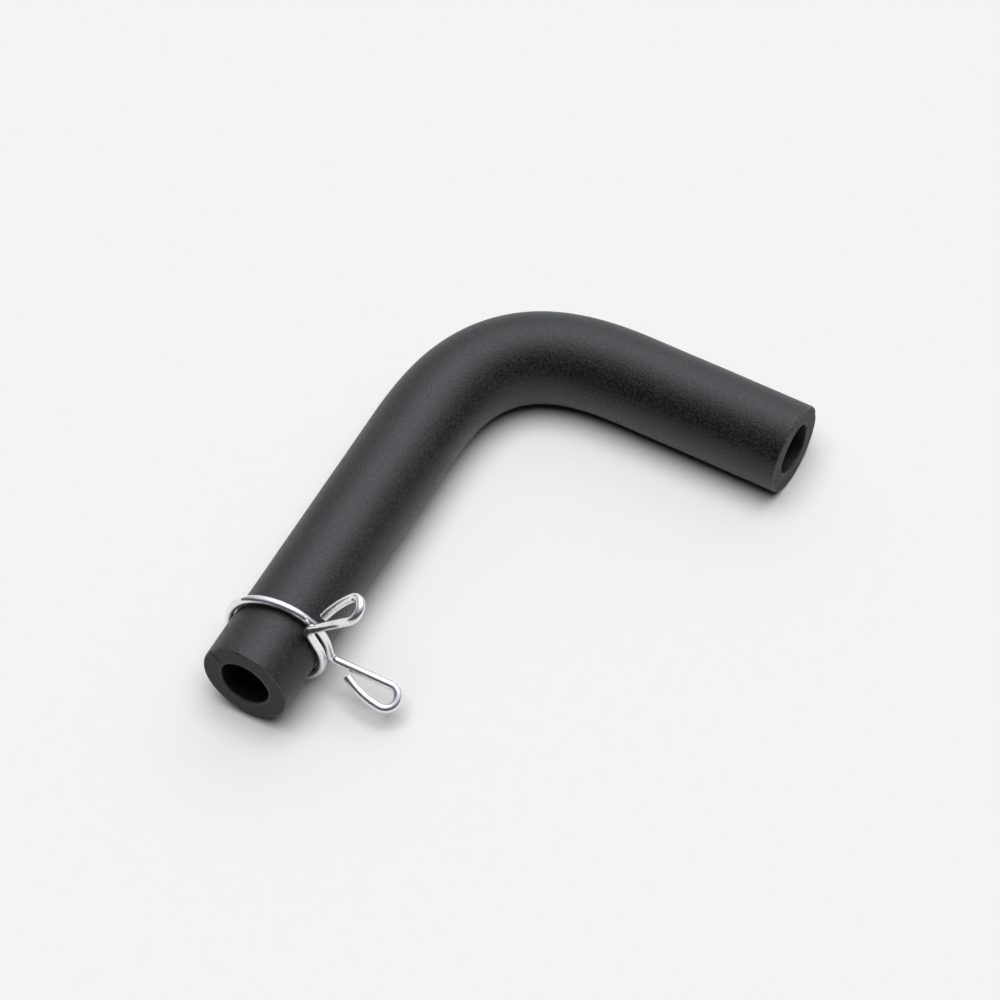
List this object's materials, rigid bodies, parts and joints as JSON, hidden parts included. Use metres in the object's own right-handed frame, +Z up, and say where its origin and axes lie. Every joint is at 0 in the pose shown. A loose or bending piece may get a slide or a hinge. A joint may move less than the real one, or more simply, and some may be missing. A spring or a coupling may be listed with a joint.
{
  "type": "elbow hose with spring clamp",
  "caption": "Black moulded rubber elbow hose with square-cut open ends and a loose spring wire clamp, with loop ears, near the end of its longer leg.",
  "frame": {"origin": "on the ground, under the middle of the whole object", "axes": "+Z up; the clamped leg runs towards -X and the plain leg towards -Y, so the elbow is at +X, +Y"},
  "size_m": [0.1256, 0.0892, 0.036],
  "materials": {
    "moulded_rubber": "matte, fine mottled grain",
    "zinc_plated_wire": "bright zinc plating over drawn spring wire"
  },
  "bodies": {
    "hose": {"elbow_hose": "moulded_rubber"},
    "clamp": {"clamp_back_bow": "zinc_plated_wire"},
    "lower_arm": {"clamp_lower_arm": "zinc_plated_wire"},
    "upper_arm": {"clamp_upper_arm": "zinc_plated_wire"}
  },
  "joints": [
    {"name": "clamp_slide", "type": "slide", "parent": "hose", "child": "clamp", "axis": [-0.9998, 0, 0.0214], "range_m": [-0.051, 0.009]},
    {"name": "lower_arm_flex", "type": "hinge", "parent": "clamp", "child": "lower_arm", "pos_m": [-0.04897, 0.03804, 0.00275], "axis": [0.9976, 0.0697, 0.0014], "range_deg": [0, 8], "stiffness_Nm_per_rad": 0.5},
    {"name": "upper_arm_flex", "type": "hinge", "parent": "clamp", "child": "upper_arm", "pos_m": [-0.04866, 0.04275, 0.01697], "axis": [-0.9976, -0.0697, -0.0014], "range_deg": [0, 8], "stiffness_Nm_per_rad": 0.5}
  ],
  "couplings": [
    {"joint": "upper_arm_flex", "follows": "lower_arm_flex", "ratio": 1}
  ]
}
